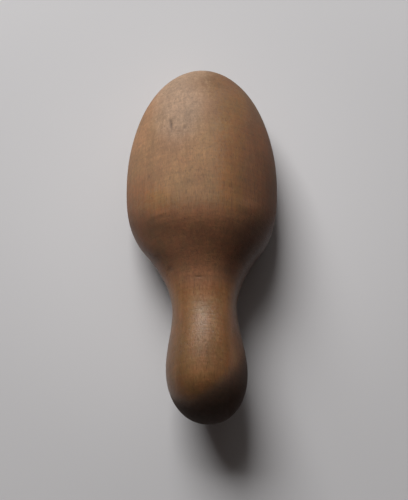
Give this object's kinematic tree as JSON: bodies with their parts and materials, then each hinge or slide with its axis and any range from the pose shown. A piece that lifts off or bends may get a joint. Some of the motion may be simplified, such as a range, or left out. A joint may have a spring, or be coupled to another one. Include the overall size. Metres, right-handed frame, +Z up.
{
  "type": "sock darning form",
  "caption": "Foot-shaped wooden darning form with a domed crown, a rounded toe, a flat sole and a short handle that ends in a knob.",
  "frame": {"origin": "under the middle of the form's length and width, on the plane of the sole", "axes": "+Z up from the sole to the crown, +Y towards the toe, -Y towards the knob, +X to the right seen from above with the toe pointing away"},
  "size_m": [0.0654, 0.152, 0.041],
  "materials": {
    "wood": "close-grained hardwood, worn smooth, with a thin aged satin finish"
  },
  "bodies": {
    "root": {"sock_form": "wood"}
  },
  "joints": []
}
